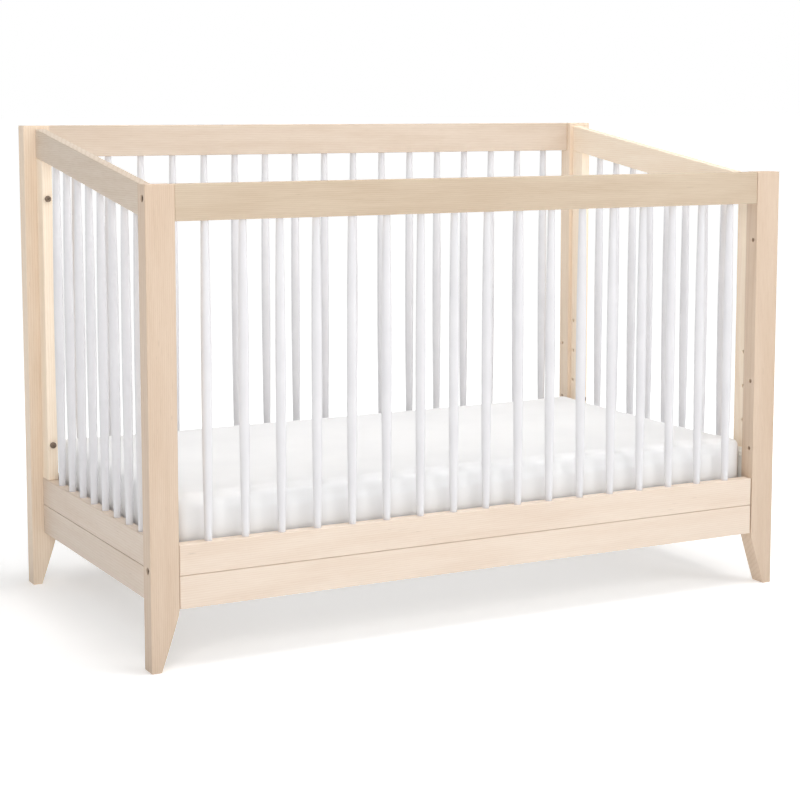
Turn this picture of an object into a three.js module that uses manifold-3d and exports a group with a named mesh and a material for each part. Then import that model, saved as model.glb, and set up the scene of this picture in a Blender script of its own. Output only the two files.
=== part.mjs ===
// A full-size baby crib: four legs, slatted long sides and sloping ends, a steel
// mattress support that can be bolted at four heights, and a mattress.
// Millimetres, +Z up. X runs along the crib, +Y towards its taller back.
// The origin is on the floor, under the middle of the crib.
import * as THREE from 'three';
import { mergeVertices } from 'three/addons/utils/BufferGeometryUtils.js';
import Module from 'manifold-3d';

const wasm = await Module();
wasm.setup();

// ---------- driving dimensions ----------
const clearance = 0.3;            // between pieces that touch
const overallLength = 1425;
const overallDepth = 763;
const frontHeight = 892;
const backHeight = 989;

const legWidth = 57;              // along X
const legThickness = 37;          // along Y
const footWidth = 20;             // what is left of the width at the sole

const footSweep = 1.08;           // 1 is a straight taper, more is a fuller one

const longRailThickness = 24.5;
const longRailSetback = 1.5;      // behind the leg's outer face
const longTopRailHeight = 67;
const lowerRailHeight = 58;
const lowerRailBottom = 176.5;
const apronBottom = 114;
const seam = 0.5;                 // between the apron and the lower rail

const endRailThickness = 22;
const endRailSetback = 25.5;      // behind the leg's outer side
const endTopRailHeight = 60;
const endRailDropAtFront = 11;    // end rail's top below the front leg's top
const endRailDropAtBack = 7;      // end rail's top below the back leg's top
const stileWidth = 41;

const spindleMaxPitch = 75;       // the row takes as many spindles as this needs
const longSpindleEdge = 62.3;     // from the last spindle's axis to the leg
const endSpindleEdge = 62;        // from the last spindle's axis to the stile
const spindleEndRadius = 7;
const spindleMiddleRadius = 10.2;
const spindleSides = 8;
const stripWidth = 11;            // tenon strip that ties a row of spindles
const stripDepth = 5;             // how far the strip is let into its rail
const stripProud = 0.5;           // how far it stands out of the rail to meet the spindles

const shankRadius = 3;
const headRadius = 6.5;
const headHeight = 5;
const socketWidth = 5;
const socketDepth = 3;
const bracketHeadHeight = 2.2;    // flat button heads beside the mattress
const bracketSocketDepth = 1.3;
const counterboreDepth = 7;
const sideBoltLength = 98;
const sideBoltBelowTop = 25;      // below the top rail's top edge
const sideBoltAboveBottom = 13.5; // above the lower rail's bottom edge
const frontStileBoltHeight = 298;
const backStileBoltHeight = 311;
const stileBoltBelowTop = 80;     // below the stile's top
const nutRadius = 4.2;
const nutLength = 18;
const nutDepth = 24;              // from the leg's face that meets the stile
const spareHoleHeight = 444;
const spareHoleDepth = 20;

const levelCount = 4;
const lowestLevel = 281;          // height of the lowest bracket hole
const levelPitch = 74;
const levelHoleRadius = 4;
const levelHoleDepth = 12;
const levelHoleFromLeg = 10.5;

const mattressGap = 6;            // round the mattress, inside the crib
const mattressThickness = 127;
const mattressBottom = 190;
const mattressCornerRadius = 20;
const mattressEdgeRadius = 14;

const supportInset = 17;          // support frame inside the end panels
const supportSideInset = 15.5;    // support frame inside the long panels
const supportFlange = 20;
const supportHeight = 20;
const supportThickness = 2.5;
const deckThickness = 5;
const deckRodWidth = 6;
const deckCrossPitch = 129;       // the deck takes as many rods as these need
const deckLongPitch = 340;
const bracketThickness = 1.8;
const bracketWidth = 20;
const bracketTab = 40;
const bracketAboveBolt = 14;
const slidingGap = 0.6;           // between a bracket and the stile it slides on

// ---------- derived places ----------
const halfLength = overallLength / 2;
const halfDepth = overallDepth / 2;
const legInnerX = halfLength - legWidth;
const legInnerY = halfDepth - legThickness;
const longAxisY = halfDepth - longRailSetback - longRailThickness / 2;
const longInnerY = halfDepth - longRailSetback - longRailThickness;
const endOuterX = halfLength - endRailSetback;
const endInnerX = endOuterX - endRailThickness;
const endAxisX = endOuterX - endRailThickness / 2;
const lowerRailTop = lowerRailBottom + lowerRailHeight;
const railEndX = legInnerX - clearance;
const railEndY = legInnerY - clearance;
const stileInnerY = railEndY - stileWidth;
const endFrontTop = frontHeight - endRailDropAtFront;
const endBackTop = backHeight - endRailDropAtBack;
const slope = (endBackTop - endFrontTop) / (2 * legInnerY);
const endTopAt = (y) => endFrontTop + slope * (y + legInnerY);
const endUnderAt = (y) => endTopAt(y) - endTopRailHeight;
const stileBoltLow = (sy) => sy < 0 ? frontStileBoltHeight : backStileBoltHeight;
const stileBoltHigh = (sy) => endUnderAt(sy * stileInnerY) - stileBoltBelowTop;
const levels = Array.from({ length: levelCount }, (_, i) => lowestLevel + i * levelPitch);
const deckTop = mattressBottom - clearance;
const supportTop = deckTop - deckThickness - clearance;
const supportHalfX = endInnerX - supportInset;
const supportHalfY = longInnerY - supportSideInset;

// ---------- materials ----------
const paint = (color, roughness, metalness = 0) => () =>
  new THREE.MeshStandardMaterial({ color, roughness, metalness });
const legWood = paint(0xe6cdb4, 0.6);
const railWood = paint(0xdfcab2, 0.6);
const palePaint = paint(0xf4f3f0, 0.4);
const bronze = paint(0x4a4038, 0.45, 0.8);
const steel = paint(0xd8d9da, 0.45, 0.6);
const cotton = paint(0xf6f5f2, 0.9);

// ---------- shapes ----------
function box(x0, x1, y0, y1, z0, z1) {
  const g = new THREE.BoxGeometry(Math.abs(x1 - x0), Math.abs(y1 - y0), Math.abs(z1 - z0));
  return g.translate((x0 + x1) / 2, (y0 + y1) / 2, (z0 + z1) / 2);
}

// A rod between two values of one axis; the other two centre values follow in X, Y, Z order.
function rod(axis, from, to, u, v, radius, sides = 8) {
  const g = new THREE.CylinderGeometry(radius, radius, Math.abs(to - from), sides);
  const middle = (from + to) / 2;
  if (axis === 'x') {
    return g.rotateZ(Math.PI / 2).translate(middle, u, v);
  }
  if (axis === 'y') {
    return g.translate(u, middle, v);
  }
  return g.rotateX(Math.PI / 2).translate(u, v, middle);
}

// An outline of [y, z] points, extruded along X.
function prismAlongX(points, x0, x1) {
  const shape = new THREE.Shape(points.map(([y, z]) => new THREE.Vector2(y, z)));
  const g = new THREE.ExtrudeGeometry(shape, { depth: Math.abs(x1 - x0), bevelEnabled: false });
  const turn = new THREE.Matrix4().makeBasis(
    new THREE.Vector3(0, 1, 0), new THREE.Vector3(0, 0, 1), new THREE.Vector3(1, 0, 0));
  return g.applyMatrix4(turn).translate(Math.min(x0, x1), 0, 0);
}

// An outline of [x, z] points, extruded along Y.
function prismAlongY(points, y0, y1) {
  const shape = new THREE.Shape(points.map(([x, z]) => new THREE.Vector2(z, x)));
  const g = new THREE.ExtrudeGeometry(shape, { depth: Math.abs(y1 - y0), bevelEnabled: false });
  const turn = new THREE.Matrix4().makeBasis(
    new THREE.Vector3(0, 0, 1), new THREE.Vector3(1, 0, 0), new THREE.Vector3(0, 1, 0));
  return g.applyMatrix4(turn).translate(0, Math.min(y0, y1), 0);
}

function solid(geometry) {
  const g = geometry.clone();
  g.deleteAttribute('normal');
  g.deleteAttribute('uv');
  const merged = mergeVertices(g, 1e-4);
  return new wasm.Manifold(new wasm.Mesh({
    numProp: 3,
    vertProperties: new Float32Array(merged.attributes.position.array),
    triVerts: new Uint32Array(merged.index.array),
  }));
}

function surface(manifold) {
  const mesh = manifold.getMesh();
  const g = new THREE.BufferGeometry();
  g.setAttribute('position', new THREE.BufferAttribute(new Float32Array(mesh.vertProperties), 3));
  g.setIndex(new THREE.BufferAttribute(new Uint32Array(mesh.triVerts), 1));
  g.computeVertexNormals();
  return g;
}

const join = (shapes) => shapes.map(solid).reduce((a, b) => a.add(b));
const cut = (body, tools) => tools.map(solid).reduce((a, b) => a.subtract(b), body);

function piece(name, geometry, material, x = 0, y = 0, z = 0) {
  const mesh = new THREE.Mesh(geometry, material());
  mesh.name = name;
  mesh.position.set(x, y, z);
  return mesh;
}

// ---------- legs ----------
// Local frame: the leg's outer corner at the sole, sx and sy pointing into the crib.
function leg(name, height, sx, sy, heights) {
  const points = [[0, 0], [0, height], [sx * legWidth, height], [sx * legWidth, apronBottom]];
  for (const t of [0.3, 0.6, 0.85, 1]) {
    const width = legWidth - (legWidth - footWidth) * t ** footSweep;
    points.push([sx * width, apronBottom * (1 - t)]);
  }
  const body = solid(prismAlongY(points, 0, sy * legThickness));
  const axisY = sy * (longRailSetback + longRailThickness / 2);
  const stileX = sx * (endRailSetback + endRailThickness / 2);
  const nutY = sy * (legThickness - nutDepth);
  const nutEnd = stileX - sx * (nutLength / 2 + clearance);
  const tools = [];
  for (const z of heights.side) {
    tools.push(rod('x', -sx, sx * (legWidth + 1), axisY, z, shankRadius + clearance));
    tools.push(rod('x', -sx, sx * counterboreDepth, axisY, z, headRadius + clearance, 12));
  }
  for (const z of heights.stile) {
    tools.push(rod('y', nutY, sy * (legThickness + 1), stileX, z, shankRadius + clearance));
    tools.push(rod('x', nutEnd, sx * (legWidth + 1), nutY, z, nutRadius + clearance));
  }
  tools.push(rod('x', sx * (legWidth - spareHoleDepth), sx * (legWidth + 1), nutY,
    spareHoleHeight, levelHoleRadius));
  return piece(name, surface(cut(body, tools)), legWood);
}

// ---------- bolts and nuts ----------
// Local frame: under the head at the origin, the shank along +axis.
function bolt(name, axis, sign, length, x, y, z, tall = headHeight, deep = socketDepth) {
  const head = rod(axis, 0, -sign * tall, 0, 0, headRadius, 10);
  const shank = rod(axis, -sign * (tall - deep) / 2, sign * length, 0, 0, shankRadius, 8);
  const socket = rod(axis, -sign * (tall + 1), -sign * (tall - deep), 0, 0,
    socketWidth / Math.sqrt(3), 6);
  return piece(name, surface(cut(join([head, shank]), [socket])), bronze, x, y, z);
}

function barrelNut(name, sx, x, y, z) {
  const body = solid(rod('x', -nutLength / 2, nutLength / 2, 0, 0, nutRadius));
  const bore = rod('y', -nutRadius - 1, nutRadius + 1, 0, 0, shankRadius + clearance, 8);
  const slotEnd = -sx * nutLength / 2;
  const slot = box(slotEnd - sx, slotEnd + sx * 1.5, -nutRadius - 1, nutRadius + 1, -0.8, 0.8);
  return piece(name, surface(cut(body, [bore, slot])), bronze, x, y, z);
}

// ---------- spindles ----------
function spindle(x, y, z0, z1) {
  const profile = [[0, 0]];
  for (const t of [0, 0.25, 0.5, 0.75, 1]) {
    const swell = Math.sin(Math.PI * t);
    const radius = spindleEndRadius + (spindleMiddleRadius - spindleEndRadius) * swell;
    profile.push([radius, t * (z1 - z0)]);
  }
  profile.push([0, z1 - z0]);
  const points = profile.map(([r, z]) => new THREE.Vector2(r, z));
  return new THREE.LatheGeometry(points, spindleSides).rotateX(Math.PI / 2).translate(x, y, z0);
}

// Evenly spaced places from -reach to +reach, no more than maxPitch apart.
function row(reach, maxPitch) {
  const gaps = Math.ceil(2 * reach / maxPitch);
  return Array.from({ length: gaps + 1 }, (_, i) => -reach + i * 2 * reach / gaps);
}

// ---------- long panels ----------
// Local frame: the panel's middle plane at y = 0; the group sets it at the front or back.
function longPanel(side, height, y) {
  const group = new THREE.Group();
  group.position.set(0, y, 0);
  const t = longRailThickness / 2;
  const topUnder = height - longTopRailHeight;
  const places = row(legInnerX - longSpindleEdge, spindleMaxPitch);
  const reach = places[places.length - 1] + spindleEndRadius + 3;
  const g = reach + clearance;
  const w = stripWidth / 2 + clearance;
  const depth = stripDepth + clearance;
  const boltTop = height - sideBoltBelowTop;
  const boltLow = lowerRailBottom + sideBoltAboveBottom;
  const bolted = side === 'front';
  const drills = (z) => !bolted ? [] : [-1, 1].map((s) => rod('x', s * (railEndX + 1),
    s * (halfLength - counterboreDepth - sideBoltLength - 4), 0, z, shankRadius + clearance));

  const top = solid(box(-railEndX, railEndX, -t, t, topUnder, height));
  const topCuts = [box(-g, g, -w, w, topUnder - 1, topUnder + depth), ...drills(boltTop)];
  group.add(piece(`${side}_top_rail`, surface(cut(top, topCuts)), railWood));

  const low = solid(box(-railEndX, railEndX, -t, t, lowerRailBottom, lowerRailTop));
  const lowCuts = [box(-g, g, -w, w, lowerRailTop + 1, lowerRailTop - depth), ...drills(boltLow)];
  group.add(piece(`${side}_lower_rail`, surface(cut(low, lowCuts)), railWood));

  const apron = box(-railEndX, railEndX, -t, t, apronBottom, lowerRailBottom - seam);
  group.add(piece(`${side}_apron`, apron, railWood));

  const half = stripWidth / 2;
  const strips = [
    box(-reach, reach, -half, half, lowerRailTop - stripDepth, lowerRailTop + stripProud),
    box(-reach, reach, -half, half, topUnder - stripProud, topUnder + stripDepth),
  ];
  const bars = places.map((x) => spindle(x, 0, lowerRailTop + clearance, topUnder - clearance));
  group.add(piece(`${side}_spindles`, surface(join([...strips, ...bars])), palePaint));
  return group;
}

// ---------- end panels ----------
// Local frame: the panel's middle plane at x = 0; s is -1 on the left and 1 on the right.
function endPanel(side, s) {
  const group = new THREE.Group();
  group.position.set(s * endAxisX, 0, 0);
  const t = endRailThickness / 2;
  const w = stripWidth / 2 + clearance;
  const depth = stripDepth + clearance;
  const places = row(stileInnerY - endSpindleEdge, spindleMaxPitch);
  const reach = places[places.length - 1] + spindleEndRadius + 3;
  const g = reach + clearance;
  const sloped = (y, down, up) => [
    [-y, endUnderAt(-y) + down], [y, endUnderAt(y) + down],
    [y, endUnderAt(y) + up], [-y, endUnderAt(-y) + up],
  ];

  const top = solid(prismAlongX(sloped(railEndY, 0, endTopRailHeight), -t, t));
  const topGroove = prismAlongX(sloped(g, -1, depth), -w, w);
  group.add(piece(`${side}_end_top_rail`, surface(cut(top, [topGroove])), railWood));

  const low = solid(box(-t, t, -railEndY, railEndY, lowerRailBottom, lowerRailTop));
  const lowGroove = box(-w, w, -g, g, lowerRailTop + 1, lowerRailTop - depth);
  group.add(piece(`${side}_end_lower_rail`, surface(cut(low, [lowGroove])), railWood));

  const apron = box(-t, t, -railEndY, railEndY, apronBottom, lowerRailBottom - seam);
  group.add(piece(`${side}_end_apron`, apron, railWood));

  for (const [place, sy] of [['front', -1], ['back', 1]]) {
    const bottom = lowerRailTop + clearance;
    const outline = [
      [sy * stileInnerY, bottom], [sy * railEndY, bottom],
      [sy * railEndY, endUnderAt(sy * railEndY) - clearance],
      [sy * stileInnerY, endUnderAt(sy * stileInnerY) - clearance],
    ];
    const holeY = sy * (legInnerY - levelHoleFromLeg);
    const tools = levels.map((z) =>
      rod('x', -s * (t + 1), -s * (t - levelHoleDepth), holeY, z, levelHoleRadius));
    for (const z of [stileBoltLow(sy), stileBoltHigh(sy)]) {
      tools.push(rod('y', sy * (stileInnerY - 1), sy * (railEndY + 1), 0, z,
        shankRadius + clearance));
    }
    const body = cut(solid(prismAlongX(outline, -t, t)), tools);
    group.add(piece(`${side}_${place}_stile`, surface(body), railWood));
  }

  const half = stripWidth / 2;
  const tilt = spindleEndRadius * slope;
  const strips = [
    box(-half, half, -reach, reach, lowerRailTop - stripDepth, lowerRailTop + stripProud),
    prismAlongX(sloped(reach, -stripProud - tilt, stripDepth), -half, half),
  ];
  const bars = places.map((y) =>
    spindle(0, y, lowerRailTop + clearance, endUnderAt(y) - tilt - clearance));
  group.add(piece(`${side}_end_spindles`, surface(join([...strips, ...bars])), palePaint));
  return group;
}

// ---------- mattress support ----------
function mattressSupport() {
  const group = new THREE.Group();
  const ring = (outer, z0, z1) => solid(box(-supportHalfX, supportHalfX, -supportHalfY,
    supportHalfY, z0, z1)).subtract(solid(box(-supportHalfX + outer, supportHalfX - outer,
    -supportHalfY + outer, supportHalfY - outer, z0 - 1, z1 + 1)));
  const supportBottom = supportTop - supportHeight;
  const frame = ring(supportFlange, supportTop - supportThickness, supportTop)
    .add(ring(supportThickness, supportBottom, supportTop));
  group.add(piece('mattress_support_frame', surface(frame), steel));

  const endX = supportHalfX - 4;
  const endY = supportHalfY - 4;
  const half = deckRodWidth / 2;
  const z0 = deckTop - deckThickness;
  const rods = [];
  for (const x of row(endX - half, deckCrossPitch)) {
    rods.push(box(x - half, x + half, -endY, endY, z0, deckTop));
  }
  for (const y of row(endY - half, deckLongPitch)) {
    rods.push(box(-endX, endX, y - half, y + half, z0, deckTop));
  }
  group.add(piece('mattress_support_deck', surface(join(rods)), steel));

  for (const [end, sx] of [['left', -1], ['right', 1]]) {
    for (const [place, sy] of [['front', -1], ['back', 1]]) {
      const holeY = sy * (legInnerY - levelHoleFromLeg);
      const outer = sx * (endInnerX - slidingGap);
      const inner = outer - sx * bracketThickness;
      const tabTop = supportBottom - clearance;
      const y0 = -bracketWidth / 2;
      const plate = box(0, -sx * bracketThickness, y0, -y0, tabTop - bracketThickness,
        lowestLevel + bracketAboveBolt);
      const tab = box(0, -sx * bracketTab, y0, -y0, tabTop - bracketThickness, tabTop);
      const hole = rod('x', -sx * (bracketThickness + 1), sx, 0, lowestLevel,
        shankRadius + clearance);
      group.add(piece(`${end}_${place}_bracket`, surface(cut(join([plate, tab]), [hole])),
        steel, outer, holeY, 0));
      group.add(bolt(`${end}_${place}_bracket_bolt`, 'x', sx, bracketThickness,
        inner - sx * clearance, holeY, lowestLevel, bracketHeadHeight, bracketSocketDepth));
    }
  }
  return group;
}

// ---------- mattress ----------
function mattress() {
  const halfX = endInnerX - mattressGap - mattressEdgeRadius;
  const halfY = longInnerY - mattressGap - mattressEdgeRadius;
  const r = mattressCornerRadius - mattressEdgeRadius;
  const shape = new THREE.Shape();
  shape.moveTo(-halfX + r, -halfY);
  shape.lineTo(halfX - r, -halfY);
  shape.absarc(halfX - r, -halfY + r, r, -Math.PI / 2, 0);
  shape.lineTo(halfX, halfY - r);
  shape.absarc(halfX - r, halfY - r, r, 0, Math.PI / 2);
  shape.lineTo(-halfX + r, halfY);
  shape.absarc(-halfX + r, halfY - r, r, Math.PI / 2, Math.PI);
  shape.lineTo(-halfX, -halfY + r);
  shape.absarc(-halfX + r, -halfY + r, r, Math.PI, 1.5 * Math.PI);
  const g = new THREE.ExtrudeGeometry(shape, {
    depth: mattressThickness - 2 * mattressEdgeRadius,
    bevelThickness: mattressEdgeRadius,
    bevelSize: mattressEdgeRadius,
    bevelSegments: 2,
    curveSegments: 4,
  });
  return piece('mattress', g, cotton, 0, 0, mattressBottom + mattressEdgeRadius);
}

// ---------- assembly ----------
const crib = new THREE.Group();
crib.add(longPanel('front', frontHeight, -longAxisY));
crib.add(longPanel('back', backHeight, longAxisY));
crib.add(endPanel('left', -1));
crib.add(endPanel('right', 1));

for (const [end, sx] of [['left', -1], ['right', 1]]) {
  for (const [place, sy, height] of [['front', -1, frontHeight], ['back', 1, backHeight]]) {
    const bolted = place === 'front';
    const heights = {
      side: bolted ? [lowerRailBottom + sideBoltAboveBottom, height - sideBoltBelowTop] : [],
      stile: [stileBoltLow(sy), stileBoltHigh(sy)],
    };
    const corner = new THREE.Group();
    corner.position.set(sx * halfLength, sy * halfDepth, 0);
    corner.add(leg(`${end}_${place}_leg`, height, -sx, -sy, heights));
    const axisY = -sy * (longRailSetback + longRailThickness / 2);
    const stileX = -sx * (endRailSetback + endRailThickness / 2);
    const stileEdge = -sy * (halfDepth - stileInnerY + clearance);
    const nutY = -sy * (legThickness - nutDepth);
    for (const [level, i] of [['lower', 0], ['upper', 1]]) {
      if (bolted) {
        corner.add(bolt(`${end}_${place}_${level}_side_bolt`, 'x', -sx, sideBoltLength,
          -sx * (counterboreDepth - clearance), axisY, heights.side[i]));
      }
      corner.add(bolt(`${end}_${place}_${level}_stile_bolt`, 'y', sy,
        halfDepth - stileInnerY - (legThickness - nutDepth), stileX, stileEdge,
        heights.stile[i]));
      corner.add(barrelNut(`${end}_${place}_${level}_nut`, sx, stileX, nutY,
        heights.stile[i]));
    }
    crib.add(corner);
  }
}

crib.add(mattressSupport());
crib.add(mattress());

export default crib;
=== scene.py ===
# %% [markdown]
# # A slatted baby crib
# Every hard size of the crib comes from a fixed model that is loaded first. This lesson
# builds the surfaces that are seen around it: eased boards with a washed wood grain,
# turned and painted spindles, dark hex-socket bolts, and a mattress in a fitted sheet.
# Lengths are in metres, +Z is up, X runs along the crib and +Y points to its tall back.

# %% The frame
import math

import bmesh
import bpy
from mathutils import Matrix, Vector, noise


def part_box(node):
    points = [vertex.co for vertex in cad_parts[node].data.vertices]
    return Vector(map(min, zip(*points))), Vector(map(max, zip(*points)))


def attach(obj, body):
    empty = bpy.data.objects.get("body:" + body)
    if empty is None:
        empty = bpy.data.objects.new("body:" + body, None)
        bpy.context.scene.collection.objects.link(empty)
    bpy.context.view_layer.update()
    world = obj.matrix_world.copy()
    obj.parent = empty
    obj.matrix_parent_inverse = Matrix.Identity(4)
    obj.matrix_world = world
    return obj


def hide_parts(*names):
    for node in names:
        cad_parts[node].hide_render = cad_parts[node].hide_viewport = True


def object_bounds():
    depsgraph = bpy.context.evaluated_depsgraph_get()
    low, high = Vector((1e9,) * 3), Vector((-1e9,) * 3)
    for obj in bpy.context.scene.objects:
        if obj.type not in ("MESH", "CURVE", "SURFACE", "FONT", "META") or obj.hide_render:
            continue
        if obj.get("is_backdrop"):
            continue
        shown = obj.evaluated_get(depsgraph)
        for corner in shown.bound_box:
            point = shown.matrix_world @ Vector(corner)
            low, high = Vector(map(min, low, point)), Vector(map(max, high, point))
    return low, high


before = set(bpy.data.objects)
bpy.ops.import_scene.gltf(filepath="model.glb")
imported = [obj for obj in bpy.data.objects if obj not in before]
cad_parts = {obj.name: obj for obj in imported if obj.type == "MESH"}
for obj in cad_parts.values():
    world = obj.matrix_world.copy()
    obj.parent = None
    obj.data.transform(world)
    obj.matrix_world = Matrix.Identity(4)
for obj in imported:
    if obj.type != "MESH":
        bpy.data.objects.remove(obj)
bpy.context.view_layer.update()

# %% [markdown]
# ## Camera, floor and light
# The crib is seen from its front left, from just above its rails. A long lens keeps the near
# leg from looming, and a small shift of the lens takes some of the tilt out, so the upright
# legs stay almost parallel. The floor and the walls of a studio are one pale sweep, so the
# floor here is a large plain sheet under a white wall. It glows a little, and more so far
# away, so that it stays white. Most of the light comes from softboxes: a broad one overhead,
# a broad one at the front left, and a smaller key at the front right that throws the soft
# shadow of each spindle on the mattress. The sky is white to the camera, but lights the crib
# less strongly than that.

# %% Camera
camera_data = bpy.data.cameras.new("camera")
camera_data.sensor_width = 36
camera_data.lens = 83.83
camera_data.shift_y = -0.10
camera = bpy.data.objects.new("camera", camera_data)
camera.location = (-1.8621, -3.5060, 1.0298)
camera.rotation_euler = (math.radians(83.45), 0, math.radians(-28.0))
bpy.context.collection.objects.link(camera)
bpy.context.scene.camera = camera
bpy.context.scene.view_settings.view_transform = "Standard"
print("camera", [round(v, 3) for v in camera.location])


# %% A small language for shaders
class Sock:
    """One output of a shader node, with arithmetic that adds Math nodes."""

    def __init__(self, tree, link):
        self.tree = tree
        self.link = link

    def math(self, operation, other=0.0, flip=False):
        values = (other, self) if flip else (self, other)
        return self.tree.node("ShaderNodeMath", {"operation": operation}, values)

    def __add__(self, other):
        return self.math("ADD", other)

    def __radd__(self, other):
        return self.math("ADD", other)

    def __sub__(self, other):
        return self.math("SUBTRACT", other)

    def __rsub__(self, other):
        return self.math("SUBTRACT", other, flip=True)

    def __mul__(self, other):
        return self.math("MULTIPLY", other)

    def __rmul__(self, other):
        return self.math("MULTIPLY", other)

    def ramp(self, low, high):
        """0 below low, 1 above high, and a smooth rise between them."""
        settings = {"interpolation_type": "SMOOTHSTEP"}
        sockets = {"Value": self, "From Min": low, "From Max": high}
        return self.tree.node("ShaderNodeMapRange", settings, sockets)


class Shader:
    """A material and the few calls that fill its node tree."""

    def __init__(self, name):
        self.material = bpy.data.materials.new(name)
        self.material.use_nodes = True
        self.tree = self.material.node_tree
        self.surface = self.tree.nodes["Principled BSDF"]

    def node(self, kind, settings=None, sockets=(), output=0):
        made = self.tree.nodes.new(kind)
        for key, value in (settings or {}).items():
            setattr(made, key, value)
        pairs = sockets.items() if isinstance(sockets, dict) else enumerate(sockets)
        for key, value in pairs:
            self.join(value, made.inputs[key])
        return Sock(self, made.outputs[output])

    def join(self, value, socket):
        if isinstance(value, Sock):
            self.tree.links.new(value.link, socket)
        else:
            socket.default_value = value

    def place(self, scale=(1, 1, 1), shift=(0, 0, 0)):
        """Object coordinates, moved and then stretched."""
        where = self.node("ShaderNodeTexCoord", output=3)
        moved = self.node("ShaderNodeMapping", {}, {"Vector": where, "Location": shift})
        return self.node("ShaderNodeVectorMath", {"operation": "MULTIPLY"}, (moved, scale))

    def noise(self, where, scale=1.0, detail=2.0, roughness=0.5):
        return self.node("ShaderNodeTexNoise", {}, {
            "Vector": where, "Scale": scale, "Detail": detail, "Roughness": roughness})

    def mix(self, amount, first, second):
        settings = {"data_type": "RGBA"}
        return self.node("ShaderNodeMix", settings, {0: amount, 6: first, 7: second}, 2)

    def bump(self, height, strength, distance):
        return self.node("ShaderNodeBump", {}, {
            "Height": height, "Strength": strength, "Distance": distance})

    def set(self, **sockets):
        for key, value in sockets.items():
            self.join(value, self.surface.inputs[key.replace("_", " ")])


def rgb(red, green, blue):
    """A colour as a screen shows it, 0 to 255, turned into linear light."""
    def linear(value):
        value /= 255
        return value / 12.92 if value <= 0.04045 else ((value + 0.055) / 1.055) ** 2.4
    return linear(red), linear(green), linear(blue), 1.0


print("shader helpers ready")

# %% Floor
glow_near = (0.28, 0.28, 0.28, 1)
glow_far = (0.74, 0.74, 0.74, 1)
floor_half = 150
floor_shader = Shader("studio_floor")
away = floor_shader.node("ShaderNodeVectorMath", {"operation": "LENGTH"},
                         (floor_shader.place(),), 1)
far = away.ramp(0.9, 2.2)
floor_shader.set(
    Base_Color=rgb(248, 248, 248),
    Roughness=0.9,
    Emission_Color=floor_shader.mix(far, glow_near, glow_far),
    Emission_Strength=1.0,
)
bm = bmesh.new()
bmesh.ops.create_grid(bm, x_segments=2, y_segments=2, size=floor_half)
floor_mesh = bpy.data.meshes.new("studio_floor")
bm.to_mesh(floor_mesh)
bm.free()
floor_mesh.materials.append(floor_shader.material)
floor = bpy.data.objects.new("studio_floor", floor_mesh)
bpy.context.collection.objects.link(floor)
floor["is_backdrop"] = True
print("floor laid")


# %% Softboxes
crib_middle = Vector((0, 0, 0.5))


def softbox(name, place, size, power):
    """A square light at place, facing the middle of the crib."""
    toward_crib = crib_middle - Vector(place)
    data = bpy.data.lights.new(name, "AREA")
    data.size = size
    data.energy = power
    lamp = bpy.data.objects.new(name, data)
    lamp.rotation_euler = toward_crib.to_track_quat("-Z", "Y").to_euler()
    lamp.location = place
    bpy.context.collection.objects.link(lamp)


softbox("key", (3.2, -3.4, 2.4), 1.4, 36)
softbox("fill", (-2.4, -3.8, 3.2), 2.4, 74)
softbox("overhead", (0.3, -0.5, 3.4), 2.2, 76)
print("softboxes", len(bpy.data.lights))

# %% Sky
sky_dim = 0.06
sky_bright = 0.36
bright_side = (0.5, 0.72, 0.48)
world = bpy.data.worlds.new("studio")
world.use_nodes = True
nodes, links = world.node_tree.nodes, world.node_tree.links
room = nodes["Background"]
room.inputs["Color"].default_value = (1, 1, 1, 1)
direction = nodes.new("ShaderNodeTexCoord")
toward = nodes.new("ShaderNodeVectorMath")
toward.operation = "DOT_PRODUCT"
toward.inputs[1].default_value = bright_side
span = nodes.new("ShaderNodeMapRange")
span.interpolation_type = "SMOOTHSTEP"
for key, value in {"From Min": -0.9, "From Max": 0.5, "To Min": sky_dim,
                   "To Max": sky_bright}.items():
    span.inputs[key].default_value = value
links.new(direction.outputs["Generated"], toward.inputs[0])
links.new(toward.outputs["Value"], span.inputs["Value"])
links.new(span.outputs["Result"], room.inputs["Strength"])
backdrop = nodes.new("ShaderNodeBackground")
backdrop.inputs["Color"].default_value = (1, 1, 1, 1)
seen = nodes.new("ShaderNodeLightPath")
either = nodes.new("ShaderNodeMixShader")
links.new(seen.outputs["Is Camera Ray"], either.inputs["Fac"])
links.new(room.outputs["Background"], either.inputs[1])
links.new(backdrop.outputs["Background"], either.inputs[2])
links.new(either.outputs["Shader"], nodes["World Output"].inputs["Surface"])
bpy.context.scene.world = world
print("sky from", sky_dim, "to", sky_bright)

# %% [markdown]
# ## Washed wood
# The boards are a pale, fine-grained timber under a thin whitish wash and a satin lacquer.
# Such wood has growth rings that run along the board: on a face they show as long soft
# lines and on an end as arcs. So the rings are computed as cylinders around a line far to
# one side of the board, bent a little by noise that is stretched along the grain. Short
# dark flecks are the pores. One function makes the wood for each grain direction.


# %% Wood
ring_spacing = 0.0036


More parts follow.
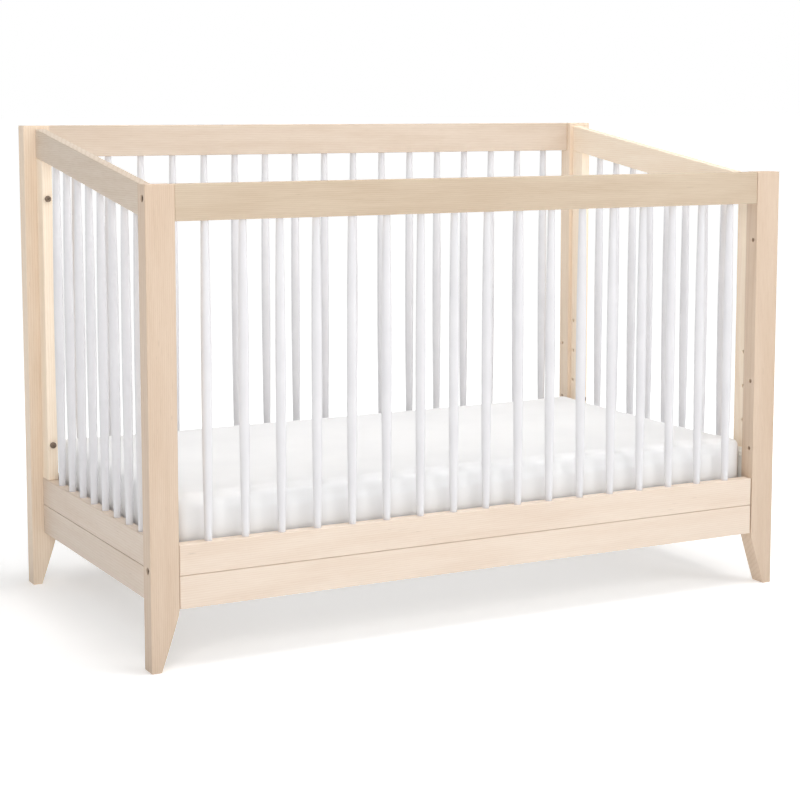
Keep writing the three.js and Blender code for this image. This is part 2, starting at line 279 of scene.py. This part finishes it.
def washed_wood(name, along, pale, deep, shift):
    """along is the axis that the grain runs in; shift picks the part of the log."""
    wood = Shader(name)
    axis = "XYZ".index(along)

    def stretched(ratio):
        scale = [1.0, 1.0, 1.0]
        scale[axis] = ratio
        return wood.place(scale=scale, shift=shift)

    across = stretched(0.05)
    wander = wood.noise(stretched(0.12), scale=6, detail=3, roughness=0.6)
    pith = wood.place(scale=[0.02 if i == axis else 1 for i in range(3)],
                      shift=(0.21 + shift[0] * 0.1, 0.17, 0.12 + shift[2] * 0.1))
    radius = wood.node("ShaderNodeVectorMath", {"operation": "LENGTH"}, (pith,), 1)
    rings = (radius * (2 * math.pi / ring_spacing) + wander * 34).math("SINE") * 0.5 + 0.5
    late = rings.ramp(0.55, 1.0)
    fibres = wood.noise(across, scale=520, detail=3, roughness=0.7).ramp(0.3, 0.75)
    bands = wood.noise(stretched(0.1), scale=42, detail=2).ramp(0.35, 0.7)
    clouds = wood.noise(stretched(0.4), scale=4, detail=2).ramp(0.3, 0.7)
    pores = wood.noise(stretched(0.035), scale=1100, detail=1).ramp(0.68, 0.8)
    flecks = wood.noise(stretched(0.1), scale=260, detail=1).ramp(0.74, 0.82)
    depth = late * 0.26 + fibres * 0.26 + bands * 0.24 + clouds * 0.24
    body = wood.mix(depth, pale, deep)
    dark = [c * 0.66 for c in deep[:3]] + [1]
    flecked = wood.mix(pores * 0.3 + flecks * 0.35, body, dark)
    relief = fibres * 0.5 + late * 0.25 - pores * 0.9
    wood.set(
        Base_Color=flecked,
        Roughness=0.46 + fibres * 0.1 + pores * 0.15,
        Normal=wood.bump(relief, 0.2, 0.0003),
        Coat_Weight=0.1,
        Coat_Roughness=0.4,
    )
    return wood.material


print("wood recipe ready")

# %% [markdown]
# ## Boards with eased edges
# A sanded board has no sharp edge: a small round catches a line of light along every side.
# Each board starts as a cube, is scaled to its size and bevelled. The facets of the rounds
# are under a millimetre wide, so they shade flat and leave the broad faces truly flat.


# %% Board tools
def finish_piece(name, bm, material, body, replaced=(), smooth=35):
    """Turns a bmesh into a shown piece that moves with one body."""
    bmesh.ops.recalc_face_normals(bm, faces=bm.faces[:])
    mesh = bpy.data.meshes.new(name)
    bm.to_mesh(mesh)
    bm.free()
    mesh.shade_smooth()
    mesh.set_sharp_from_angle(angle=math.radians(smooth))
    mesh.materials.append(material)
    piece = bpy.data.objects.new(name, mesh)
    bpy.context.collection.objects.link(piece)
    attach(piece, body)
    if replaced:
        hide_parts(*replaced)
    return piece


def flatten_faces(piece):
    """Broad faces and the narrow facets of the eased edges each shade flat."""
    piece.data.shade_smooth()
    piece.data.set_sharp_from_angle(angle=math.radians(8))


def block(low, high):
    """A new bmesh holding a box between two corners."""
    bm = bmesh.new()
    bmesh.ops.create_cube(bm, size=1)
    size = [h - l for l, h in zip(low, high)]
    middle = [(l + h) / 2 for l, h in zip(low, high)]
    bmesh.ops.scale(bm, vec=size, verts=bm.verts)
    bmesh.ops.translate(bm, vec=middle, verts=bm.verts)
    return bm


def ease(bm, radius, segments=3, sharper_than=20):
    """Rounds every edge that turns by more than the angle."""
    limit = math.radians(sharper_than)
    edges = [e for e in bm.edges if e.is_manifold and e.calc_face_angle() > limit]
    bmesh.ops.bevel(bm, geom=edges, offset=radius, segments=segments, profile=0.5,
                    affect="EDGES", material=-1, clamp_overlap=True)


def carve(piece, cutter_bm):
    """Cuts the shape in cutter_bm out of the piece, once and for all."""
    mesh = bpy.data.meshes.new("cutter")
    cutter_bm.to_mesh(mesh)
    cutter_bm.free()
    cutter = bpy.data.objects.new("cutter", mesh)
    bpy.context.collection.objects.link(cutter)
    modifier = piece.modifiers.new("carve", "BOOLEAN")
    modifier.operation = "DIFFERENCE"
    modifier.solver = "EXACT"
    modifier.object = cutter
    graph = bpy.context.evaluated_depsgraph_get()
    piece.data = bpy.data.meshes.new_from_object(piece.evaluated_get(graph))
    piece.modifiers.remove(modifier)
    bpy.data.objects.remove(cutter)


def add_rod(bm, start, end, radius, segments=32):
    """Adds a closed cylinder from start to end."""
    start, end = Vector(start), Vector(end)
    turn = Vector((0, 0, 1)).rotation_difference(end - start).to_matrix().to_4x4()
    bmesh.ops.create_cone(bm, cap_ends=True, segments=segments, radius1=radius, radius2=radius,
                          depth=(end - start).length,
                          matrix=Matrix.Translation((start + end) / 2) @ turn)


def drill(piece, holes):
    """Cuts round holes. Each hole is (start, end, radius) and starts outside the piece."""
    bm = bmesh.new()
    for start, end, radius in holes:
        add_rod(bm, start, end, radius)
    carve(piece, bm)


board_ease = 0.0016
print("board tools ready, edges eased by", board_ease * 1000, "mm")

# %% [markdown]
# ## Legs
# Each leg is a flat post. Its outer side is plumb and its inner side sweeps out below the
# apron, so the foot ends narrow. The sweep is made by slicing the box at several heights
# with bisect_plane and moving the inner corners of each slice along a curve.

# %% Leg sizes
legs = ["left_front_leg", "left_back_leg", "right_front_leg", "right_back_leg"]
leg_width = 0.057
foot_width = 0.020
sweep_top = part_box("front_apron")[0][2]
sweep_steps = 10
sweep_power = 1.08
# These are not only the wood's own colour: each group of pieces gets a paler or darker copy of
# one wood, set to stand in for the light that falls on it. The darker tones are painted shade,
# as on the front legs, the front rail and the left end. The paler ones are painted light, as
# on the back legs, the lower boards, the right end rail and the stiles.
lit_and_shaded_woods = {
    "front legs": (rgb(218, 197, 176), rgb(199, 172, 146)),
    "back legs": (rgb(243, 225, 204), rgb(222, 197, 170)),
    "palest boards": (rgb(254, 239, 219), rgb(236, 213, 186)),
    "front rail": (rgb(207, 190, 168), rgb(185, 162, 136)),
    "back rail": (rgb(226, 211, 195), rgb(203, 181, 159)),
    "left rail": (rgb(220, 206, 190), rgb(198, 177, 155)),
    "lower boards": (rgb(236, 221, 205), rgb(221, 199, 179)),
    "end boards": (rgb(228, 213, 198), rgb(213, 192, 172)),
}
print("sweep starts at", round(sweep_top, 3))


# %% Legs
def make_leg(node, index):
    low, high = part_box(node)
    side = -1 if low[0] < 0 else 1
    bm = block(low, high)
    for step in range(sweep_steps):
        height = sweep_top * (1 - step / sweep_steps)
        bmesh.ops.bisect_plane(bm, geom=bm.verts[:] + bm.edges[:] + bm.faces[:],
                               plane_co=(0, 0, height), plane_no=(0, 0, 1))
    outer = low[0] if side < 0 else high[0]
    for vert in bm.verts:
        if abs(vert.co.x - outer) > leg_width / 2 and vert.co.z < sweep_top:
            drop = (1 - vert.co.z / sweep_top) ** sweep_power
            vert.co.x = outer - side * (leg_width - (leg_width - foot_width) * drop)
    ease(bm, board_ease)
    # Front and back legs get shaded and lit copies of the wood: painted shade and painted
    # light.
    shade_pick = lit_and_shaded_woods["front legs" if "front" in node else "back legs"]
    wood = washed_wood(node + "_wood", "Z", *shade_pick, (index * 0.37, 0.11, index * 0.2))
    return finish_piece(node + "_visual", bm, wood, "frame", [node])


leg_pieces = {}
for index, node in enumerate(legs):
    leg_pieces[node] = make_leg(node, index)
print("legs", len(leg_pieces))

# %% Holes in the legs
counterbore_radius = 0.0068
counterbore_depth = 0.007
nut_hole_radius = 0.0045
past_nut = 0.0095
spare_hole_radius = 0.004
spare_hole_depth = 0.020
spare_hole_height = 0.444
overshoot = 0.002


def centre(node):
    return (Vector(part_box(node)[0]) + Vector(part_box(node)[1])) / 2


for node, leg in leg_pieces.items():
    corner = node.replace("_leg", "")
    low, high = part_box(node)
    side = -1 if low[0] < 0 else 1
    outer = low[0] if side < 0 else high[0]
    inner = outer - side * leg_width
    holes = []
    for level in ("lower", "upper"):
        if "front" in corner:
            _, y, z = centre(f"{corner}_{level}_side_bolt")
            holes.append(((outer + side * overshoot, y, z),
                          (outer - side * counterbore_depth, y, z), counterbore_radius))
        x, y, z = centre(f"{corner}_{level}_nut")
        holes.append(((inner - side * overshoot, y, z), (x + side * past_nut, y, z),
                      nut_hole_radius))
    holes.append(((inner - side * overshoot, y, spare_hole_height),
                  (inner + side * spare_hole_depth, y, spare_hole_height),
                  spare_hole_radius))
    drill(leg, holes)
    flatten_faces(leg)
print("leg holes drilled")

# %% [markdown]
# ## Rails, aprons and stiles
# The front and back rails and aprons are plain eased boards that run between the legs, and
# the thin dark line under each lower rail is the joint with its apron. The end rails rise
# towards the back, so a straight board is sheared up its length by the slope.


# %% Straight boards
def make_board(node, along, shade_pick, shift):
    low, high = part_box(node)
    bm = block(low, high)
    ease(bm, board_ease)
    # The tone is one of the lit and shaded copies of the wood, so it carries painted light or
    # painted shade.
    wood = washed_wood(node + "_wood", along, *lit_and_shaded_woods[shade_pick], shift)
    flatten_faces(finish_piece(node + "_visual", bm, wood, "frame", [node]))


for index, side in enumerate(("front", "back")):
    make_board(f"{side}_top_rail", "X", f"{side} rail", (0.1, 0.31 + index, 0.05))
    make_board(f"{side}_lower_rail", "X", "lower boards", (0.5, 0.12 + index, 0.33))
    make_board(f"{side}_apron", "X", "lower boards", (0.9, 0.43 + index, 0.71))
for index, end in enumerate(("left", "right")):
    make_board(f"{end}_end_lower_rail", "Y", "end boards", (0.2 + index, 0.6, 0.4))
    make_board(f"{end}_end_apron", "Y", "end boards", (0.7 + index, 0.1, 0.9))
print("straight boards made")

# %% Sloping end rails
rail_depth = 0.060
for index, end in enumerate(("left", "right")):
    node = f"{end}_end_top_rail"
    low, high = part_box(node)
    length = high[1] - low[1]
    slope = (high[2] - low[2] - rail_depth) / length
    bm = block(low, (high[0], high[1], low[2] + rail_depth))
    shear = Matrix.Identity(4)
    shear[2][1] = slope
    shear[2][3] = -slope * low[1]
    bmesh.ops.transform(bm, matrix=shear, verts=bm.verts)
    ease(bm, board_ease)
    # The left end rail gets a darker copy of the wood as painted shade, and the right one the
    # palest copy as painted light.
    shade_pick = lit_and_shaded_woods["left rail" if end == "left" else "palest boards"]
    wood = washed_wood(node + "_wood", "Y", *shade_pick, (0.4 + index, 0.2, 0.6))
    flatten_faces(finish_piece(node + "_visual", bm, wood, "frame", [node]))
print("end rails slope by", round(math.degrees(math.atan(slope)), 2), "degrees")

# %% Stiles with level holes
level_heights = [0.281 + 0.074 * i for i in range(4)]
level_from_leg = 0.0105
level_hole_depth = 0.012
level_hole_radius = 0.004
corners = [f"{end}_{place}" for end in ("left", "right") for place in ("front", "back")]
for index, corner in enumerate(corners):
    end, place = corner.split("_")
    node = f"{corner}_stile"
    low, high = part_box(node)
    bm = block(low, high)
    drop = slope * (high[1] - low[1])
    for vert in bm.verts:
        if vert.co.z > high[2] - 1e-5 and vert.co.y < low[1] + 1e-5:
            vert.co.z -= drop
    ease(bm, board_ease)
    # The stiles take the palest copy of the wood as painted light.
    wood = washed_wood(node + "_wood", "Z", *lit_and_shaded_woods["palest boards"], (0.3 * index, 0.5, 0.8))
    stile = finish_piece(node + "_visual", bm, wood, "frame", [node])
    face = high[0] if end == "left" else low[0]
    inward = 1 if end == "left" else -1
    y = low[1] + level_from_leg if place == "front" else high[1] - level_from_leg
    drill(stile, [((face + inward * overshoot, y, z),
                   (face - inward * level_hole_depth, y, z), level_hole_radius)
                  for z in level_heights])
    flatten_faces(stile)
print("stiles made, holes at", [round(z, 3) for z in level_heights])

# %% [markdown]
# ## Spindles
# Each spindle is turned on a lathe: slim where it enters the rails and fuller in the
# middle. That is exactly what spin does: one outline, swept round an axis. The finish is a
# white satin paint, which is nearly smooth but shows a faint sprayed texture.

# %% White paint
paint = Shader("spindle_paint")
spray = paint.place()
mottle = paint.noise(spray, scale=14, detail=3).ramp(0.3, 0.7)
stipple = paint.noise(spray, scale=700, detail=2)
paint.set(
    Base_Color=paint.mix(mottle * 0.5, rgb(228, 227, 229), rgb(219, 218, 221)),
    Roughness=0.34 + mottle * 0.08,
    Normal=paint.bump(stipple, 0.12, 0.0002),
    Coat_Weight=0.15,
    Coat_Roughness=0.3,
)
print("paint mixed")

# %% Turning the spindles
spindle_end = 0.0070
spindle_middle = 0.0102
swell_power = 0.9
lathe_steps = 28
tenon = 0.005
row_margin = 0.010
side_count = 17
end_count = 8


def turn_spindle(name, x, y, bottom, top, replaced):
    bm = bmesh.new()
    rings = 24
    previous = bm.verts.new((x, y, bottom - tenon))
    verts = [previous]
    for step in range(rings + 1):
        t = step / rings
        swell = math.sin(math.pi * t) ** swell_power
        radius = spindle_end + (spindle_middle - spindle_end) * swell
        height = bottom - tenon + t * (top - bottom + 2 * tenon)
        verts.append(bm.verts.new((x + radius, y, height)))
    verts.append(bm.verts.new((x, y, top + tenon)))
    edges = [bm.edges.new(pair) for pair in zip(verts, verts[1:])]
    bmesh.ops.spin(bm, geom=verts + edges, cent=(x, y, 0), axis=(0, 0, 1),
                   angle=2 * math.pi, steps=lathe_steps, use_merge=True)
    bmesh.ops.remove_doubles(bm, verts=bm.verts, dist=1e-6)
    return finish_piece(name, bm, paint.material, "frame", replaced, 50)


def spaced(low, high, count):
    return [low + (high - low) * i / (count - 1) for i in range(count)]


for side in ("front", "back"):
    node = f"{side}_spindles"
    low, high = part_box(node)
    y = (low[1] + high[1]) / 2
    reach = high[0] - row_margin
    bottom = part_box(f"{side}_lower_rail")[1][2]
    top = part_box(f"{side}_top_rail")[0][2]
    for number, x in enumerate(spaced(-reach, reach, side_count), 1):
        turn_spindle(f"{side}_spindle_{number:02d}", x, y, bottom, top, [node])
for end in ("left", "right"):
    node = f"{end}_end_spindles"
    low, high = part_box(node)
    rail_low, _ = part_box(f"{end}_end_top_rail")
    x = (low[0] + high[0]) / 2
    reach = high[1] - row_margin
    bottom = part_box(f"{end}_end_lower_rail")[1][2]
    for number, y in enumerate(spaced(-reach, reach, end_count), 1):
        top = rail_low[2] + slope * (y - rail_low[1])
        turn_spindle(f"{end}_end_spindle_{number}", x, y, bottom, top, [node])

# %% [markdown]
# ## Bolts, nuts and brackets
# The frame bolts are dark bronze, and the flat bolts of the brackets share the cream coat of
# the mattress support. A head is a short cylinder with a bevelled rim, and a six-sided rod
# is cut out for the socket. Barrel nuts sit in cross holes of the legs and show a slot.

# %% Metals
bronze = Shader("dark_bronze")
tumble = bronze.noise(bronze.place(), scale=420, detail=3).ramp(0.35, 0.7)
bronze.set(
    Base_Color=bronze.mix(tumble, rgb(158, 141, 124), rgb(116, 101, 88)),
    Metallic=0.85,
    Roughness=0.36 + tumble * 0.16,
    Normal=bronze.bump(tumble, 0.15, 0.0001),
)
steel = Shader("support_coat")
powder = steel.noise(steel.place(), scale=900, detail=2)
dust = steel.noise(steel.place(), scale=12, detail=3).ramp(0.3, 0.7)
steel.set(
    Base_Color=steel.mix(dust * 0.6, rgb(250, 245, 236), rgb(241, 235, 225)),
    Roughness=0.42 + powder * 0.1,
    Normal=steel.bump(powder, 0.2, 0.0002),
)
print("metals mixed")


# %% Bolts
socket_radius = 0.0029
shank_radius = 0.003
cap_head = 0.005
cap_socket = 0.003
flat_head = 0.0022
flat_socket = 0.0013


def make_bolt(node, body, axis, out, head, socket_depth, metal):
    """A cap screw along axis (0 for X, 1 for Y) with its head on the out side."""
    low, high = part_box(node)
    radius = (high[2] - low[2]) / 2
    length = high[axis] - low[axis]
    place = centre(node)
    place[axis] = high[axis] if out > 0 else low[axis]
    bm = bmesh.new()
    add_rod(bm, (0, 0, -head), (0, 0, 0), radius, 48)
    rims = [e for e in bm.edges if e.calc_face_angle() > 1]
    bmesh.ops.bevel(bm, geom=rims, offset=0.0006, segments=3, profile=0.5,
                    affect="EDGES", material=-1)
    add_rod(bm, (0, 0, -length), (0, 0, -head - 0.00005), shank_radius, 24)
    socket = bmesh.new()
    add_rod(socket, (0, 0, -socket_depth), (0, 0, 0.002), socket_radius, 6)
    direction = Vector([out if i == axis else 0 for i in range(3)])
    turn = Vector((0, 0, 1)).rotation_difference(direction).to_matrix().to_4x4()
    for shape in (bm, socket):
        bmesh.ops.transform(shape, matrix=Matrix.Translation(place) @ turn, verts=shape.verts)
    bolt = finish_piece(node + "_visual", bm, metal.material, body, [node], 40)
    carve(bolt, socket)


for corner in corners:
    right = 1 if "right" in corner else -1
    back = 1 if "back" in corner else -1
    for level in ("lower", "upper"):
        if back < 0:
            make_bolt(f"{corner}_{level}_side_bolt", "frame", 0, right, cap_head,
                      cap_socket, bronze)
        make_bolt(f"{corner}_{level}_stile_bolt", "frame", 1, -back, cap_head,
                  cap_socket, bronze)
    make_bolt(f"{corner}_bracket_bolt", "mattress_support", 0, -right, flat_head,
              flat_socket, steel)

# %% Barrel nuts
slot_width = 0.0014
slot_depth = 0.0018
for corner in corners:
    right = 1 if "right" in corner else -1
    for level in ("lower", "upper"):
        node = f"{corner}_{level}_nut"
        low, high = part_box(node)
        _, y, z = centre(node)
        radius = (high[2] - low[2]) / 2
        bm = bmesh.new()
        add_rod(bm, (low[0], y, z), (high[0], y, z), radius, 40)
        ends = [e for e in bm.edges if e.calc_face_angle() > 1]
        bmesh.ops.bevel(bm, geom=ends, offset=0.0005, segments=2, profile=0.5,
                        affect="EDGES", material=-1)
        nut = finish_piece(node + "_visual", bm, bronze.material, "frame", [node],
                           40)
        mouth = low[0] if right > 0 else high[0]
        lips = sorted((mouth - right * 0.001, mouth + right * slot_depth))
        carve(nut, block((lips[0], y - 0.01, z - slot_width / 2),
                         (lips[1], y + 0.01, z + slot_width / 2)))
print("barrel nuts made")

# %% [markdown]
# ## Mattress support
# The mattress rests on a ring of steel angle with welded rods across it. The ring is a box
# whose top is inset to a flange, opened, and given a wall with solidify. Each bracket is
# two faces of a box, also given a wall, and both are finished with a tiny bevel.

# %% Support ring
flange = 0.020
wall = 0.0025
low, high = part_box("mattress_support_frame")
bm = block(low, high)
top = max(bm.faces, key=lambda f: f.calc_center_median().z)
bottom = min(bm.faces, key=lambda f: f.calc_center_median().z)
bmesh.ops.inset_individual(bm, faces=[top], thickness=flange)
bmesh.ops.delete(bm, geom=[top, bottom], context="FACES_ONLY")
bmesh.ops.recalc_face_normals(bm, faces=bm.faces[:])
bmesh.ops.solidify(bm, geom=bm.faces[:], thickness=wall)
ease(bm, 0.0005, 2)
finish_piece("mattress_support_frame_visual", bm, steel.material, "mattress_support",
             ["mattress_support_frame"])

# %% Deck rods
cross_rods = 11
long_rods = 3
low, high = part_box("mattress_support_deck")
rod_radius = (high[2] - low[2]) / 2
middle = (high[2] + low[2]) / 2
bm = bmesh.new()
for x in spaced(low[0] + rod_radius, high[0] - rod_radius, cross_rods):
    add_rod(bm, (x, low[1], middle), (x, high[1], middle), rod_radius, 16)
for y in spaced(low[1] + rod_radius, high[1] - rod_radius, long_rods):
    add_rod(bm, (low[0], y, middle), (high[0], y, middle), rod_radius * 0.96, 16)
finish_piece("mattress_support_deck_visual", bm, steel.material, "mattress_support",
             ["mattress_support_deck"])
print("deck rods", cross_rods + long_rods)

# %% Brackets
plate = 0.0018
for corner in corners:
    node = f"{corner}_bracket"
    low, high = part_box(node)
    right = 1 if "right" in corner else -1
    bm = block(low, high)
    keep = [max(bm.faces, key=lambda f: right * f.calc_center_median().x),
            min(bm.faces, key=lambda f: f.calc_center_median().z)]
    bmesh.ops.delete(bm, geom=[f for f in bm.faces if f not in keep], context="FACES")
    bmesh.ops.recalc_face_normals(bm, faces=bm.faces[:])
    outward = sum(f.normal.x * right for f in bm.faces) > 0
    bmesh.ops.solidify(bm, geom=bm.faces[:], thickness=plate if outward else -plate)
    ease(bm, 0.0004, 2)
    finish_piece(node + "_visual", bm, steel.material, "mattress_support", [node])
print("brackets made")

# %% [markdown]
# ## Mattress
# The mattress is a foam block in a white fitted sheet, pulled tight over it. The block is
# bevelled, remeshed into small even squares and inflated a little as cloth, so that its top
# crowns and its sides swell between the corners. Then the sheet gets what its cut gives it:
# a sewn dart down each corner and small folds that fan out from there.

# %% Cotton
cotton = Shader("cotton_sheet")
cloth_place = cotton.place()
warp = cotton.noise(cotton.place(scale=(1, 0.12, 0.12)), scale=1500, detail=1)
weft = cotton.noise(cotton.place(scale=(0.12, 1, 1)), scale=1500, detail=1)
soft = cotton.noise(cloth_place, scale=5, detail=4).ramp(0.3, 0.7)
slub = cotton.noise(cotton.place(scale=(0.05, 1, 1)), scale=300, detail=2).ramp(0.6, 0.8)
cotton.set(
    Base_Color=cotton.mix(soft * 0.5 + slub * 0.2, rgb(239, 239, 239), rgb(230, 230, 231)),
    Roughness=0.86 + soft * 0.08,
    Normal=cotton.bump(warp + weft + slub * 0.5, 0.18, 0.00035),
    Sheen_Weight=0.12,
)
print("cotton ready")

# %% Foam block
inset = 0.0022
low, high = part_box("mattress")
bm = block([l + inset for l in low[:2]] + [low[2] + 0.0008],
           [h - inset for h in high[:2]] + [high[2] - inset])
upright = [e for e in bm.edges if abs(e.verts[0].co.z - e.verts[1].co.z) > 0.01]
bmesh.ops.bevel(bm, geom=upright, offset=0.017, segments=6, profile=0.5,
                affect="EDGES", material=-1)
ease(bm, 0.009, 4, 60)
mattress = finish_piece("mattress_visual", bm, cotton.material, "mattress", ["mattress"])
print("block", [round(h - l, 3) for l, h in zip(low, high)])

# %% Even squares
square = 0.009


def apply_modifiers(piece):
    """Fixes what the modifiers show as the piece's own mesh."""
    graph = bpy.context.evaluated_depsgraph_get()
    mesh = bpy.data.meshes.new_from_object(piece.evaluated_get(graph))
    piece.modifiers.clear()
    piece.data = mesh


remesh = mattress.modifiers.new("squares", "REMESH")
remesh.mode = "VOXEL"
remesh.voxel_size = square
apply_modifiers(mattress)
print("squares", len(mattress.data.polygons))

# %% Inflating the cloth
pressure_steps = 10
most_swell = 0.003


def inflate(piece, most):
    """Blows the piece up as cloth; no point moves further than most."""
    before = [v.co.copy() for v in piece.data.vertices]
    cloth = piece.modifiers.new("cloth", "CLOTH")
    settings = cloth.settings
    settings.quality = 5
    settings.mass = 0.3
    settings.tension_stiffness = 25
    settings.compression_stiffness = 25
    settings.shear_stiffness = 10
    settings.bending_stiffness = 2
    settings.use_pressure = True
    settings.uniform_pressure_force = 2.5
    settings.effector_weights.gravity = 0
    cloth.collision_settings.use_collision = False
    scene = bpy.context.scene
    for step in range(1, pressure_steps + 1):
        scene.frame_set(step)
    apply_modifiers(piece)
    scene.frame_set(1)
    for vert, start in zip(piece.data.vertices, before):
        move = vert.co - start
        if move.length > most:
            vert.co = start + move * (most / move.length)
    return max((v.co - b).length for v, b in zip(piece.data.vertices, before))


print("cloth moved up to", round(inflate(mattress, most_swell) * 1000, 1), "mm")

# %% Darts and folds
low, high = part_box("mattress")
half_x, half_y = high[0], high[1]
top = high[2]
fold_reach = 0.16
fold_depth = 0.0016
dart_depth = 0.0016
dart_width = 0.0035
dart_reach = 0.03
drift_depth = 0.0006
clamp_slack = 0.001


def bell(distance, width):
    return math.exp(-(distance / width) ** 2)


for vert in mattress.data.vertices:
    x, y, z = vert.co
    near_x, near_y = half_x - abs(x), half_y - abs(y)
    normal = vert.normal.copy()
    corner_distance = math.hypot(near_x, near_y)
    fan = math.atan2(near_y, near_x)
    fade = bell(corner_distance, fold_reach)
    which_corner = 3.0 * (x > 0) + 7.0 * (y > 0)
    ripple = noise.noise(Vector((fan * 9, which_corner, corner_distance * 3)))
    drift = noise.noise(Vector((x * 3.1, y * 3.7, z * 5)))
    side = max(0.0, 1 - abs(normal.z))
    hang = noise.noise(Vector((x * 26, y * 26, z * 5))) * side * 0.5
    move = fold_depth * (ripple * fade * 1.6 + hang * (0.35 + fade)) + drift_depth * drift
    dart = bell(near_x - near_y, dart_width) * side * (corner_distance < dart_reach)
    vert.co += normal * (move - dart_depth * dart)
smooth = mattress.modifiers.new("smooth", "SUBSURF")
smooth.levels = smooth.render_levels = 1
apply_modifiers(mattress)
for vert in mattress.data.vertices:
    vert.co.z = max(vert.co.z, low[2] + 0.0002)
    vert.co.x = max(-half_x - clamp_slack, min(half_x + clamp_slack, vert.co.x))
    vert.co.y = max(-half_y - clamp_slack, min(half_y + clamp_slack, vert.co.y))
mattress.data.shade_smooth()
print("mattress faces", len(mattress.data.polygons))

# %% Sizes
low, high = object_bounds()
print("visual box", [round(h - l, 3) for l, h in zip(low, high)])
